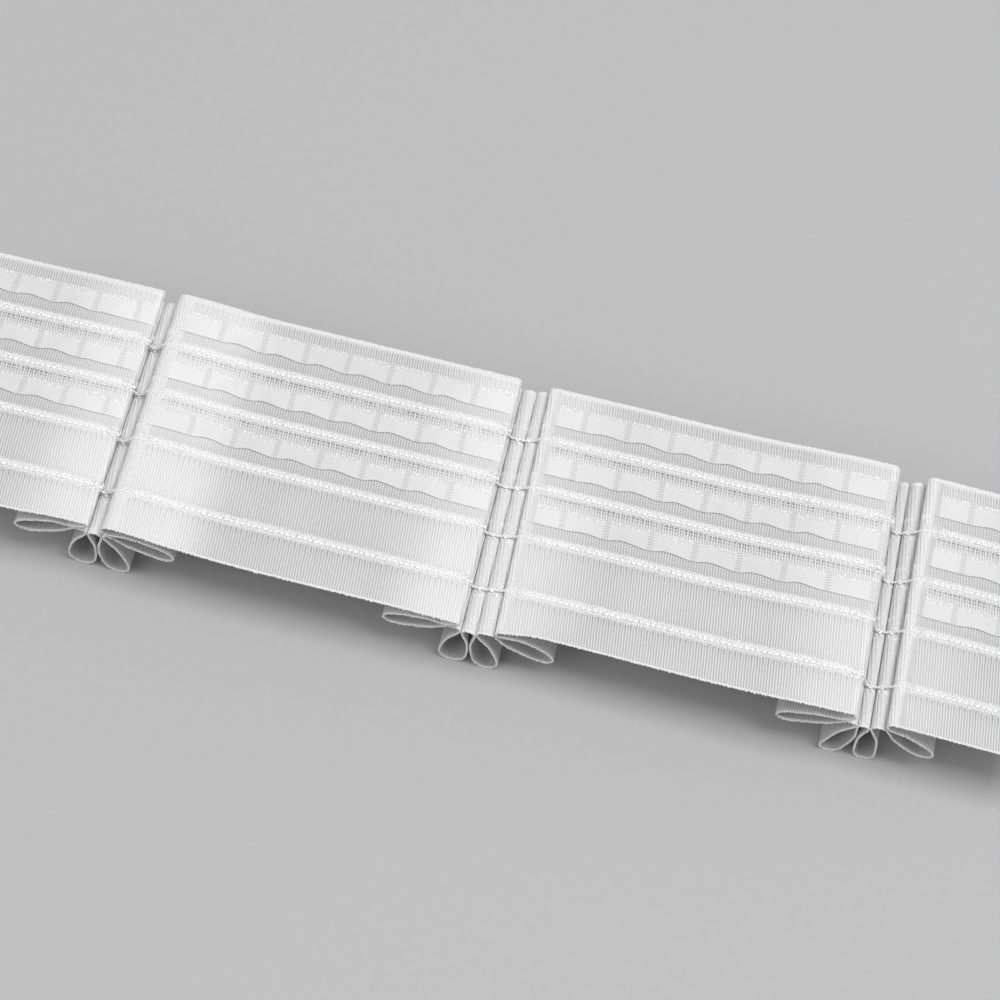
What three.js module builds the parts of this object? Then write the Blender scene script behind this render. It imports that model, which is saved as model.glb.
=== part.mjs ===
// A length of woven curtain heading tape, drawn up on its four cords into groups of pleats.
// Millimetres, +Z up. X runs along the tape, Y across it (its top edge at +Y).
// The tape lies face up and stands on the two middle pleat loops of each group.

import * as THREE from 'three';

// Driving sizes
const TAPE_WIDTH = 75;
const TAPE_THICKNESS = 1;
const TAPE_END = 161;
const RIB_TOP = 22;
const LOOP_FLAT = 0.3;

// Fold sizes, measured on the middle line of the cloth
const MOUTH_GAP = 1.4;
const MOUTH_DEPTH = 1.2;
const SIDE_MOUTH_GAP = 2.4;
const SIDE_MOUTH_RISE = 1.2;
const SIDE_MOUTH_INSET = 1.3;
const WALL_SPREAD = 16;
const WALL_BOW = 0.4;
const LOOP_END_LENGTH = 1.5;
const FOLD_FULLNESS = 0.62;

// Height of each panel above the ribs: at its left fold, half way and at its right fold. The
// tilt comes on top, at the bottom and at the top edge.
const PANELS = [
  { start: 4.6, middle: 4.6, end: 5.6 },
  { start: 6.4, middle: 4.4, end: 4.6 },
  { start: 4.2, middle: 4.6, end: 7.2 },
  { start: 5.6, middle: 4.8, end: 4.8 },
];
const PANEL_TILT = { bottom: -0.4, top: 0.6 };
const PANEL_RISE_BEFORE = 45;
const PANEL_RISE_AFTER = 30;

// Bands that hold the cords and rows of hook pockets, as distances from the top edge
const CORD_ROWS = [16.4, 31.6, 46.8, 63.2];
const BAND = { halfWidth: 1.75, railHalfWidth: 1.3, grooveHalfWidth: 0.9, height: 0.4 };
const POCKET_ROWS = [
  { top: 4.8, bottom: 11.7 },
  { top: 20.6, bottom: 27.0 },
  { top: 36.0, bottom: 42.2 },
];
const POCKET = {
  pitch: 12.3,
  first: 20,
  height: 0.45,
  topHeight: 0.27,
  seam: 0.8,
  seamHeight: 0.1,
  hem: 0.3,
  arch: 0.9,
};
const RELIEF_FADE = 1.5;

// A cord follows its row at a clearance, with the shares of each fold and rib that it touches
const CORD = {
  radius: 0.55,
  clearance: 0.32,
  bend: 0.7,
  foldShares: [0.2, 0.36, 0.52],
  ribShares: [0.3, 0.5, 0.7],
  sides: 8,
};

// Pleat groups from left to right, at the bottom and the top edge of the tape. seam is the x of
// the second loop's mouth. From there fold is where the panel on the left turns under, mouth the
// first loop's mouth, rib the width of the middle rib, and start where the panel on the right
// comes up again.
const GROUPS = [
  {
    bottom: { seam: -106.5, fold: -0.3, mouth: -3.7, rib: 4.4, start: 7.4 },
    top: { seam: -108.4, fold: -0.9, mouth: -3.4, rib: 4.4, start: 8.0 },
  },
  {
    bottom: { seam: -0.5, fold: -1.6, mouth: -4.2, rib: 4.3, start: 10.9 },
    top: { seam: -2.5, fold: -1.7, mouth: -3.6, rib: 4.5, start: 9.9 },
  },
  {
    bottom: { seam: 108.3, fold: -3.3, mouth: -3.7, rib: 3.6, start: 9.4 },
    top: { seam: 106.2, fold: -3.3, mouth: -3.6, rib: 3.4, start: 9.9 },
  },
];

// The bottom edge isn't quite straight: how far it hangs below its line at each x, and the row
// where that begins
const BOTTOM_EDGE_WAVE = [
  { x: -161, drop: 1.7 },
  { x: -128, drop: 1.0 },
  { x: -112, drop: 0.3 },
  { x: -100, drop: 0.3 },
  { x: -80, drop: 0.9 },
  { x: -56, drop: 1.3 },
  { x: -20, drop: 1.2 },
  { x: -3, drop: 1.5 },
  { x: 5, drop: 1.5 },
  { x: 22, drop: -0.3 },
  { x: 58, drop: 0.1 },
  { x: 84, drop: 0.4 },
  { x: 100, drop: 0.3 },
  { x: 112, drop: -0.1 },
  { x: 161, drop: 0 },
];
const WAVE_ROW = 60;

// Each loop's lean from straight down (negative leans left), outer width and, for the
// flat side loops, its length. The middle loops reach down to the table.
const LOOPS = [
  [
    { lean: -69, width: 7.0, length: 18.0 },
    { lean: -12, width: 8.2 },
    { lean: 7.5, width: 8.2 },
    { lean: 79, width: 7.4, length: 18.8 },
  ],
  [
    { lean: -71, width: 7.0, length: 18.2 },
    { lean: -7.5, width: 8.0 },
    { lean: 10, width: 7.4 },
    { lean: 52, width: 7.6, length: 19.4 },
  ],
  [
    { lean: -68, width: 6.4, length: 18.6 },
    { lean: -14, width: 6.2 },
    { lean: 4.5, width: 6.2 },
    { lean: 50, width: 6.8, length: 17.2 },
  ],
];

const HALF_THICKNESS = TAPE_THICKNESS / 2;
const STEPS = { wall: 5, loopEnd: 10, fold: 6 };
const PANEL_STEP = 9;
const POCKET_STEPS = [0.36, 0.64];
const FINE_MARGIN = 0.4;
const TANGENT_STEP = 0.004;
const COARSE_ROWS = [0, TAPE_WIDTH / 2, TAPE_WIDTH];

const mix = (a, b, t) => a + (b - a) * t;
const groupAt = (group, v) => ({
  seam: mix(group.bottom.seam, group.top.seam, v),
  fold: mix(group.bottom.fold, group.top.fold, v),
  mouth: mix(group.bottom.mouth, group.top.mouth, v),
  rib: mix(group.bottom.rib, group.top.rib, v),
  start: mix(group.bottom.start, group.top.start, v),
});
const polar = (degrees) => {
  const angle = THREE.MathUtils.degToRad(degrees);
  return new THREE.Vector2(Math.sin(angle), -Math.cos(angle));
};

// A smooth fall from 1 to 0 over the given reach
function easeOff(distance, reach) {
  const q = THREE.MathUtils.clamp(distance / reach, 0, 1);
  return 0.5 * (1 + Math.cos(Math.PI * q));
}

// Sections are drawn in a plane whose axes are X and Z. Each piece of the section is a curve
// from t = 0 to t = 1, with its first and last direction.
function curvePiece(kind, steps, curve) {
  return {
    kind,
    steps,
    point: (t) => curve.getPoint(t),
    startDirection: curve.getTangent(0),
    endDirection: curve.getTangent(1),
  };
}

// A soft fold from the end of one piece to the start of the next
function foldPiece(before, after) {
  const start = before.point(1);
  const end = after.point(0);
  const reach = FOLD_FULLNESS * start.distanceTo(end);
  const startHandle = start.clone().addScaledVector(before.endDirection, reach);
  const endHandle = end.clone().addScaledVector(after.startDirection, -reach);
  return curvePiece('fold', STEPS.fold, new THREE.CubicBezierCurve(start, startHandle, endHandle, end));
}

// A pleat loop: two bowed walls that leave the mouth and meet in a round end. Along its lean
// it measures s, and across it t, towards the wall that the cloth follows first.
function loopPiece(mouth, loop, gap, lowest) {
  const along = polar(loop.lean);
  const across = new THREE.Vector2(along.y, -along.x);
  const halfWidth = loop.width / 2 - HALF_THICKNESS;
  const endLength = LOOP_END_LENGTH * halfWidth;
  let length = loop.length;
  if (length === undefined) {
    const drop = Math.hypot(endLength * along.y, halfWidth * along.x);
    length = endLength + (mouth.y - lowest - drop) / -along.y;
  }
  const place = (s, t) => mouth.clone().addScaledVector(along, s).addScaledVector(across, t);
  const wallLength = length - endLength;
  const spread = THREE.MathUtils.degToRad(WALL_SPREAD);
  const handle = WALL_BOW * wallLength;
  const wall = (side) => new THREE.CubicBezierCurve(
    place(0, side * gap / 2),
    place(handle * Math.cos(spread), side * (gap / 2 + handle * Math.sin(spread))),
    place(wallLength - handle, side * halfWidth),
    place(wallLength, side * halfWidth),
  );
  const first = wall(1);
  const last = wall(-1);
  const steps = 2 * STEPS.wall + STEPS.loopEnd;
  const wallShare = STEPS.wall / steps;
  const point = (t) => {
    if (t <= wallShare) return first.getPoint(t / wallShare);
    if (t >= 1 - wallShare) return last.getPoint((1 - t) / wallShare);
    const angle = Math.PI * (t - wallShare) / (1 - 2 * wallShare);
    return place(wallLength + endLength * Math.sin(angle), halfWidth * Math.cos(angle));
  };
  return {
    kind: 'loop',
    steps,
    point,
    startDirection: first.getTangent(0),
    endDirection: last.getTangent(0).negate(),
  };
}

// A panel between two groups, or between a group and a cut end of the tape
function panelPiece(heights, left, right, v) {
  const middle = RIB_TOP + heights.middle + mix(PANEL_TILT.bottom, PANEL_TILT.top, v);
  const start = left ? left.seam + left.start : -TAPE_END;
  const end = right ? right.seam + right.fold : TAPE_END;
  const firstPocket = (left ?? right).seam + POCKET.first;
  const height = (x) => {
    const after = (heights.start - heights.middle) * easeOff(x - start, PANEL_RISE_AFTER);
    const before = (heights.end - heights.middle) * easeOff(end - x, PANEL_RISE_BEFORE);
    return middle + after + before;
  };
  const flat = new THREE.Vector2(1, 0);
  return {
    kind: 'panel',
    start,
    end,
    firstPocket,
    point: (t) => new THREE.Vector2(mix(start, end, t), height(mix(start, end, t))),
    startDirection: flat,
    endDirection: flat,
  };
}

// The whole section from the left cut end to the right one, at v = 0 for the bottom edge of
// the tape and v = 1 for its top edge
function sectionPieces(v) {
  const groups = GROUPS.map((group) => groupAt(group, v));
  const ribMouth = RIB_TOP - MOUTH_DEPTH;
  const sideMouth = RIB_TOP + SIDE_MOUTH_RISE;
  const lowest = HALF_THICKNESS - LOOP_FLAT;
  const pieces = [];
  let panel = panelPiece(PANELS[0], null, groups[0], v);
  groups.forEach((group, i) => {
    const mouths = [
      new THREE.Vector2(group.seam + group.mouth, sideMouth),
      new THREE.Vector2(group.seam, ribMouth),
      new THREE.Vector2(group.seam + group.rib, ribMouth),
      new THREE.Vector2(group.seam + group.start - SIDE_MOUTH_INSET, sideMouth),
    ];
    const gaps = [SIDE_MOUTH_GAP, MOUTH_GAP, MOUTH_GAP, SIDE_MOUTH_GAP];
    const loops = mouths.map((mouth, k) => loopPiece(mouth, LOOPS[i][k], gaps[k], lowest));
    const next = panelPiece(PANELS[i + 1], group, groups[i + 1] ?? null, v);
    let last = panel;
    pieces.push(panel);
    [...loops, next].forEach((piece) => {
      pieces.push(foldPiece(last, piece));
      if (piece !== next) pieces.push(piece);
      last = piece;
    });
    panel = next;
  });
  pieces.push(panel);
  return pieces;
}

const sectionCache = new Map();
function sectionAt(y) {
  const key = y.toFixed(4);
  if (!sectionCache.has(key)) sectionCache.set(key, sectionPieces(1 - y / TAPE_WIDTH));
  return sectionCache.get(key);
}

const LOWEST_DROP = Math.max(...BOTTOM_EDGE_WAVE.map((place) => place.drop));
const TOP_EDGE_Y = (TAPE_WIDTH + LOWEST_DROP) / 2;

// World y of a place x along the tape and y down from its top edge
function acrossTape(x, y) {
  const last = BOTTOM_EDGE_WAVE.length - 1;
  const found = BOTTOM_EDGE_WAVE.findIndex((place) => place.x > x);
  const next = found < 0 ? last : Math.max(1, found);
  const from = BOTTOM_EDGE_WAVE[next - 1];
  const to = BOTTOM_EDGE_WAVE[next];
  const drop = mix(to.drop, from.drop, easeOff(x - from.x, to.x - from.x));
  const share = Math.max(0, (y - WAVE_ROW) / (TAPE_WIDTH - WAVE_ROW));
  return TOP_EDGE_Y - y - drop * share * share;
}

// The middle line and its upward normal at place g along the tape, y from its top edge. The
// whole part of g is the piece and the rest is how far along that piece.
function sheetFrame(g, y) {
  const pieces = sectionAt(y);
  const index = Math.min(pieces.length - 1, Math.max(0, Math.ceil(g - 1e-9) - 1));
  const t = g - index;
  const piece = pieces[index];
  const before = piece.point(Math.max(0, t - TANGENT_STEP));
  const after = piece.point(Math.min(1, t + TANGENT_STEP));
  const tangent = after.sub(before).normalize();
  return { point: piece.point(t), normal: new THREE.Vector2(-tangent.y, tangent.x) };
}

// A point on the face (side 1) or the back (side -1) of the cloth. The loops that reach the
// table are pressed flat on it.
function sheetPoint(g, y, side, lift) {
  const { point, normal } = sheetFrame(g, y);
  point.addScaledVector(normal, side * HALF_THICKNESS + lift);
  return new THREE.Vector3(point.x, acrossTape(point.x, y), Math.max(0, point.y));
}

// Collects shared vertices, and fills the strip between two rows of them with triangles
class Shell {
  constructor() {
    this.positions = [];
    this.triangles = [];
    this.known = new Map();
  }

  vertex(g, y, side, lift = 0) {
    const key = [g.toFixed(6), y.toFixed(4), side].join(' ');
    if (!this.known.has(key)) {
      this.known.set(key, this.positions.length / 3);
      this.positions.push(...sheetPoint(g, y, side, lift).toArray());
    }
    return this.known.get(key);
  }

  // Rows are lists of { id, at } that run the same way from the same start to the same end
  fill(rowA, rowB) {
    let i = 0;
    let j = 0;
    while (i < rowA.length - 1 || j < rowB.length - 1) {
      const nextA = i < rowA.length - 1 ? rowA[i + 1].at : Infinity;
      const nextB = j < rowB.length - 1 ? rowB[j + 1].at : Infinity;
      if (nextA <= nextB) {
        this.triangles.push(rowA[i].id, rowB[j].id, rowA[i + 1].id);
        i += 1;
      } else {
        this.triangles.push(rowA[i].id, rowB[j].id, rowB[j + 1].id);
        j += 1;
      }
    }
  }

  geometry() {
    const geometry = new THREE.BufferGeometry();
    geometry.setAttribute('position', new THREE.Float32BufferAttribute(this.positions, 3));
    geometry.setIndex(this.triangles);
    geometry.computeVertexNormals();
    return geometry;
  }
}

// How far the relief of a panel has risen at x, from nothing at the panel's two folds
function reliefShare(panel, x) {
  const fromStart = (x - panel.start) / RELIEF_FADE;
  const fromEnd = (panel.end - x) / RELIEF_FADE;
  return THREE.MathUtils.clamp(Math.min(fromStart, fromEnd), 0, 1);
}

// How far x lies past the last seam between two pockets
function pocketPhase(panel, x) {
  const turns = (x - panel.firstPocket) / POCKET.pitch;
  return (turns - Math.floor(turns)) * POCKET.pitch;
}

// Rows of points down a panel's face: where each lies, how high it stands, and whether it
// follows the single pockets
function faceRows() {
  const rows = [{ y: () => 0, lift: () => 0, fine: false }];
  const pocketRows = POCKET_ROWS.map(({ top, bottom }) => {
    const openAt = (phase) => bottom - POCKET.arch * Math.sin(Math.PI * phase / POCKET.pitch);
    const onSeam = (phase) => Math.min(phase, POCKET.pitch - phase) < POCKET.seam / 2;
    const height = (phase) => (onSeam(phase) ? POCKET.seamHeight : POCKET.height);
    const topHeight = (phase) => (onSeam(phase) ? 0 : POCKET.topHeight);
    return [
      { y: () => top, lift: () => 0, fine: false },
      { y: () => top + POCKET.hem, lift: topHeight, fine: true },
      { y: (phase) => openAt(phase) - POCKET.hem, lift: height, fine: true },
      { y: openAt, lift: () => 0, fine: true },
      { y: () => bottom + POCKET.hem, lift: () => 0, fine: false },
    ];
  });
  const bandRows = CORD_ROWS.map((centre) => {
    const offsets = [
      [BAND.halfWidth, 0],
      [BAND.railHalfWidth, BAND.height],
      [BAND.grooveHalfWidth, 0],
    ];
    const rail = (side) => offsets.map(([offset, lift]) => ({
      y: () => centre + side * offset,
      lift: () => lift,
      fine: false,
    }));
    return [...rail(-1), ...rail(1).reverse()];
  });
  pocketRows.forEach((pocket, i) => rows.push(...pocket, ...bandRows[i]));
  rows.push(...bandRows[3], { y: () => TAPE_WIDTH, lift: () => 0, fine: false });
  return rows;
}

// Places along a panel, as shares of its length: a few for its curve, more for the pockets
function panelPlaces(panel) {
  const length = panel.end - panel.start;
  const coarseCount = Math.round(length / PANEL_STEP);
  const coarse = [0, RELIEF_FADE / length];
  for (let i = 1; i < coarseCount; i += 1) coarse.push(i / coarseCount);
  coarse.push(1 - RELIEF_FADE / length, 1);
  const fine = [0, RELIEF_FADE / length, 1 - RELIEF_FADE / length, 1];
  const inPocket = POCKET_STEPS.map((share) => share * POCKET.pitch);
  const offsets = [0, POCKET.seam, ...inPocket, POCKET.pitch - POCKET.seam];
  const margin = (RELIEF_FADE + FINE_MARGIN) / length;
  const firstTurn = Math.floor((panel.start - panel.firstPocket) / POCKET.pitch);
  const lastTurn = Math.ceil((panel.end - panel.firstPocket) / POCKET.pitch);
  for (let turn = firstTurn; turn <= lastTurn; turn += 1) {
    for (const offset of offsets) {
      const share = (panel.firstPocket + turn * POCKET.pitch + offset - panel.start) / length;
      if (share > margin && share < 1 - margin) fine.push(share);
    }
  }
  return { coarse, fine: fine.sort((a, b) => a - b) };
}

function tapeGeometry() {
  const shell = new Shell();
  const pieces = sectionAt(0);
  const rows = faceRows();
  const faceTop = [];
  const faceBottom = [];
  const backTop = [];
  const backBottom = [];
  let lastFace = null;
  let lastBack = null;
  const column = (g, side, ys) => ys.map((y) => ({ id: shell.vertex(g, y, side), at: y }));
  const ruledColumn = (g, side) => column(g, side, COARSE_ROWS);
  const fineYs = rows.map((row) => row.y(0));

  const addBack = (g) => {
    const next = ruledColumn(g, -1);
    if (lastBack) shell.fill(lastBack, next);
    lastBack = next;
    backTop.push({ id: next[0].id, at: g });
    backBottom.push({ id: next.at(-1).id, at: g });
  };

  pieces.forEach((piece, index) => {
    if (piece.kind !== 'panel') {
      const first = pieces[index - 1].kind === 'panel' ? 1 : 0;
      for (let step = first; step <= piece.steps; step += 1) {
        const g = index + step / piece.steps;
        const leadsToPanel = step === piece.steps && pieces[index + 1].kind === 'panel';
        const face = leadsToPanel ? column(g, 1, fineYs) : ruledColumn(g, 1);
        if (step > 0) {
          shell.fill(face, lastFace);
          lastFace = face;
          faceTop.push({ id: face[0].id, at: g });
          faceBottom.push({ id: face.at(-1).id, at: g });
          addBack(g);
        }
      }
      return;
    }
    const places = panelPlaces(piece);
    if (index === 0) {
      faceTop.push({ id: shell.vertex(0, 0, 1), at: 0 });
      faceBottom.push({ id: shell.vertex(0, TAPE_WIDTH, 1), at: 0 });
      addBack(0);
    }
    let rowAbove = null;
    rows.forEach((row) => {
      const shares = row.fine ? places.fine : places.coarse;
      const points = shares.map((share) => {
        const x = mix(piece.start, piece.end, share);
        const raised = reliefShare(piece, x);
        const phase = pocketPhase(piece, x);
        const y = mix(row.y(0), row.y(phase), raised);
        return { id: shell.vertex(index + share, y, 1, raised * row.lift(phase)), at: share };
      });
      if (rowAbove) shell.fill(rowAbove, points);
      rowAbove = points;
    });
    places.coarse.slice(1).forEach((share) => {
      const g = index + share;
      faceTop.push({ id: shell.vertex(g, 0, 1), at: g });
      faceBottom.push({ id: shell.vertex(g, TAPE_WIDTH, 1), at: g });
      addBack(g);
    });
    lastFace = column(index + 1, 1, fineYs);
  });

  shell.fill(backTop, faceTop);
  shell.fill(faceBottom, backBottom);
  shell.fill(column(0, 1, fineYs), ruledColumn(0, -1));
  shell.fill(ruledColumn(pieces.length, -1), column(pieces.length, 1, fineYs));
  return shell.geometry();
}

// The middle line of a cord along its row: over each panel, down round the fold before a
// group, straight across the ribs and up round the next fold
function cordRoute(row) {
  const pieces = sectionAt(row);
  const offset = HALF_THICKNESS + CORD.clearance + CORD.radius;
  const along = (index, share) => {
    const { point, normal } = sheetFrame(index + share, row);
    return point.addScaledVector(normal, offset);
  };
  const route = [];
  let ribPoints = [];
  pieces.forEach((piece, index) => {
    if (piece.kind === 'panel') {
      panelPlaces(piece).coarse.forEach((share) => route.push(along(index, share)));
    } else if (pieces[index - 1].kind === 'panel') {
      CORD.foldShares.forEach((share) => route.push(along(index, share)));
      ribPoints = [];
    } else if (pieces[index + 1].kind === 'panel') {
      const rise = CORD.foldShares.map((share) => along(index, 1 - share)).reverse();
      const from = route.at(-1).x + CORD.bend;
      const to = rise[0].x - CORD.bend;
      route.push(...ribPoints.filter((point) => point.x > from && point.x < to), ...rise);
    } else if (piece.kind === 'fold') {
      CORD.ribShares.forEach((share) => ribPoints.push(along(index, share)));
    }
  });
  return route;
}

// A closed tube with flat ends along a cord's route
function tubeGeometry(route, row, radius, sides) {
  const positions = [];
  const triangles = [];
  route.forEach((point, i) => {
    const before = route[Math.max(0, i - 1)];
    const after = route[Math.min(route.length - 1, i + 1)];
    const tangent = i === 0 || i === route.length - 1
      ? new THREE.Vector2(1, 0)
      : after.clone().sub(before).normalize();
    const y = acrossTape(point.x, row);
    for (let k = 0; k < sides; k += 1) {
      const angle = 2 * Math.PI * k / sides;
      const up = radius * Math.sin(angle);
      positions.push(point.x - tangent.y * up, y + radius * Math.cos(angle), point.y + tangent.x * up);
    }
  });
  const ring = (i, k) => i * sides + (k % sides);
  for (let i = 0; i < route.length - 1; i += 1) {
    for (let k = 0; k < sides; k += 1) {
      triangles.push(ring(i, k), ring(i, k + 1), ring(i + 1, k));
      triangles.push(ring(i, k + 1), ring(i + 1, k + 1), ring(i + 1, k));
    }
  }
  const last = route.length - 1;
  for (let k = 1; k < sides - 1; k += 1) {
    triangles.push(ring(0, 0), ring(0, k + 1), ring(0, k));
    triangles.push(ring(last, 0), ring(last, k), ring(last, k + 1));
  }
  const geometry = new THREE.BufferGeometry();
  geometry.setAttribute('position', new THREE.Float32BufferAttribute(positions, 3));
  geometry.setIndex(triangles);
  geometry.computeVertexNormals();
  return geometry;
}

const tapeCloth = new THREE.MeshStandardMaterial({ color: 0xf2f2f0, roughness: 0.85, metalness: 0 });
const cordYarn = new THREE.MeshStandardMaterial({ color: 0xfafafa, roughness: 0.7, metalness: 0 });

function named(name, geometry, material) {
  const mesh = new THREE.Mesh(geometry, material);
  mesh.name = name;
  return mesh;
}

const headingTape = new THREE.Group();
headingTape.add(named('tape', tapeGeometry(), tapeCloth));
CORD_ROWS.forEach((row, i) => {
  const geometry = tubeGeometry(cordRoute(row), row, CORD.radius, CORD.sides);
  headingTape.add(named(`draw_cord_${i + 1}`, geometry, cordYarn));
});

export default headingTape;
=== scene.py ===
import math
import random

import bpy
import numpy as np
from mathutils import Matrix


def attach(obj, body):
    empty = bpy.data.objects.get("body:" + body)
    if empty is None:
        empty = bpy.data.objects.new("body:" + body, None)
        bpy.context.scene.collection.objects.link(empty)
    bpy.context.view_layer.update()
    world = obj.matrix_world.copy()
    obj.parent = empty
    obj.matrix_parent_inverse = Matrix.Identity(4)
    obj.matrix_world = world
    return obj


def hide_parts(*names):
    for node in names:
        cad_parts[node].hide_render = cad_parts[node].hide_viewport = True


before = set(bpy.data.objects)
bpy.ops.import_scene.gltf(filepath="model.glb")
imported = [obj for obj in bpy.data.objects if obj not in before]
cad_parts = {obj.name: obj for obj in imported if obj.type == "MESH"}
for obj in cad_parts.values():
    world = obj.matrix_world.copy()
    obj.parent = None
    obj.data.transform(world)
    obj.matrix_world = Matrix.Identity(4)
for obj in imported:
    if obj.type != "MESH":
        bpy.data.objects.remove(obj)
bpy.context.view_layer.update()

# All sizes below are millimetres. X runs along the tape, Y to its top edge, Z up.
MM = 0.001

# The folded tape, from the same values as its solid
TAPE_WIDTH = 75.0
TAPE_END = 161.0
RIB_TOP = 22.0
HALF_SOLID = 0.5
LOOP_FLAT = 0.3
MOUTH_GAP = 1.4
MOUTH_DEPTH = 1.2
SIDE_MOUTH_GAP = 2.4
SIDE_MOUTH_RISE = 1.2
SIDE_MOUTH_INSET = 1.3
WALL_SPREAD = 16
WALL_BOW = 0.4
LOOP_END_LENGTH = 1.5
LOOP_WALL_SHARE = 0.3
FOLD_FULLNESS = 0.62
PANEL_RISE_BEFORE = 45
PANEL_RISE_AFTER = 30
PANEL_TILT = (-0.4, 0.6)

# Height of each panel above the ribs: at its left fold, half way and at its right fold
PANELS = ((4.6, 4.6, 5.6), (6.4, 4.4, 4.6), (4.2, 4.6, 7.2), (5.6, 4.8, 4.8))

# Bands that hold the cords and rows of hook pockets, as distances from the top edge
CORD_ROWS = (16.4, 31.6, 46.8, 63.2)
BAND_HALF = 1.75
BANDS = [(round(row - BAND_HALF, 2), round(row + BAND_HALF, 2)) for row in CORD_ROWS]
POCKET_ROWS = ((4.8, 11.7), (20.6, 27.0), (36.0, 42.2))
POCKET_PITCH = 12.3
POCKET_FIRST = 20.0

# A group's seam x, and from it the fold of the panel on its left, the first loop's mouth, the
# width of its middle rib and the start of the panel on its right, at the bottom and top edge
GROUPS = (
    dict(seam=(-106.5, -108.4), fold=(-0.3, -0.9), mouth=(-3.7, -3.4), rib=(4.4, 4.4), start=(7.4, 8.0)),
    dict(seam=(-0.5, -2.5), fold=(-1.6, -1.7), mouth=(-4.2, -3.6), rib=(4.3, 4.5), start=(10.9, 9.9)),
    dict(seam=(108.3, 106.2), fold=(-3.3, -3.3), mouth=(-3.7, -3.6), rib=(3.6, 3.4), start=(9.4, 9.9)),
)

# Loops of each group: lean from straight down in degrees, outer width and length
LOOPS = (
    ((-69, 7.0, 18.0), (-12, 8.2, None), (7.5, 8.2, None), (79, 7.4, 18.8)),
    ((-71, 7.0, 18.2), (-7.5, 8.0, None), (10, 7.4, None), (52, 7.6, 19.4)),
    ((-68, 6.4, 18.6), (-14, 6.2, None), (4.5, 6.2, None), (50, 6.8, 17.2)),
)

# How far the bottom edge hangs below its line at each x, and the row where that begins
EDGE_WAVE_X = (-161, -128, -112, -100, -80, -56, -20, -3, 5, 22, 58, 84, 100, 112, 161)
EDGE_WAVE_DROP = (1.7, 1.0, 0.3, 0.3, 0.9, 1.3, 1.2, 1.5, 1.5, -0.3, 0.1, 0.4, 0.3, -0.1, 0)
EDGE_WAVE_ROW = 60
TOP_EDGE_Y = (TAPE_WIDTH + max(EDGE_WAVE_DROP)) / 2

# The cloth that shows: half its thickness, and how far its middle lies out from the solid's middle line
CLOTH_HALF = 0.26
CLOTH_OUT = HALF_SOLID - CLOTH_HALF


def mix(a, b, t):
    return a + (b - a) * t


def ease_off(distance, reach):
    q = np.clip(distance / reach, 0, 1)
    return 0.5 * (1 + np.cos(np.pi * q))


def smooth(low, high, x):
    q = np.clip((x - low) / (high - low), 0, 1)
    return q * q * (3 - 2 * q)


def bezier(p0, p1, p2, p3):
    p0, p1, p2, p3 = (np.asarray(p, float) for p in (p0, p1, p2, p3))

    def point(t):
        t = np.asarray(t, float)[..., None]
        u = 1 - t
        return u**3 * p0 + 3 * u * u * t * p1 + 3 * u * t * t * p2 + t**3 * p3

    return point


def unit(a):
    a = np.asarray(a, float)
    return a / np.linalg.norm(a, axis=-1, keepdims=True)


class Piece:
    """A stretch of the section: point(t) for t from 0 to 1, and its two end directions."""

    def __init__(self, kind, point, first, last, **more):
        self.kind = kind
        self.point = point
        self.first = unit(first)
        self.last = unit(last)
        self.__dict__.update(more)


def fold_piece(before, after):
    start = before.point(1.0)
    end = after.point(0.0)
    reach = FOLD_FULLNESS * np.linalg.norm(end - start)
    a = start + before.last * reach
    b = end - after.first * reach
    return Piece("fold", bezier(start, a, b, end), a - start, end - b)


def loop_piece(mouth, loop, gap):
    lean, width, length = loop
    mouth = np.asarray(mouth, float)
    along = np.array([math.sin(math.radians(lean)), -math.cos(math.radians(lean))])
    across = np.array([along[1], -along[0]])
    half = width / 2 - HALF_SOLID
    end_length = LOOP_END_LENGTH * half
    if length is None:
        drop = math.hypot(end_length * along[1], half * along[0])
        lowest = HALF_SOLID - LOOP_FLAT
        length = end_length + (mouth[1] - lowest - drop) / -along[1]
    wall_length = length - end_length
    spread = math.radians(WALL_SPREAD)
    handle = WALL_BOW * wall_length

    def place(s, t):
        s, t = np.asarray(s, float)[..., None], np.asarray(t, float)[..., None]
        return mouth + along * s + across * t

    def wall(side):
        return bezier(
            place(0, side * gap / 2),
            place(handle * math.cos(spread), side * (gap / 2 + handle * math.sin(spread))),
            place(wall_length - handle, side * half),
            place(wall_length, side * half),
        )

    first, last = wall(1), wall(-1)
    share = LOOP_WALL_SHARE

    def point(t):
        t = np.asarray(t, float)
        angle = np.pi * np.clip((t - share) / (1 - 2 * share), 0, 1)
        end = place(wall_length + end_length * np.sin(angle), half * np.cos(angle))
        go = first(np.clip(t / share, 0, 1))
        back = last(np.clip((1 - t) / share, 0, 1))
        t = t[..., None]
        return np.where(t < share, go, np.where(t > 1 - share, back, end))

    return Piece("loop", point, first(0.01) - first(0.0), last(0.0) - last(0.01))


def panel_piece(heights, left, right, v):
    at_start, middle, at_end = heights
    start = left["seam"] + left["start"] if left else -TAPE_END
    end = right["seam"] + right["fold"] if right else TAPE_END
    pocket = (left or right)["seam"] + POCKET_FIRST

    def point(t):
        x = mix(start, end, np.asarray(t, float))
        z = RIB_TOP + mix(*PANEL_TILT, v) + middle
        z = z + (at_start - middle) * ease_off(x - start, PANEL_RISE_AFTER)
        z = z + (at_end - middle) * ease_off(end - x, PANEL_RISE_BEFORE)
        return np.stack([x, z], -1)

    return Piece("panel", point, (1, 0), (1, 0), start=start, end=end, pocket=pocket)


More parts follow.
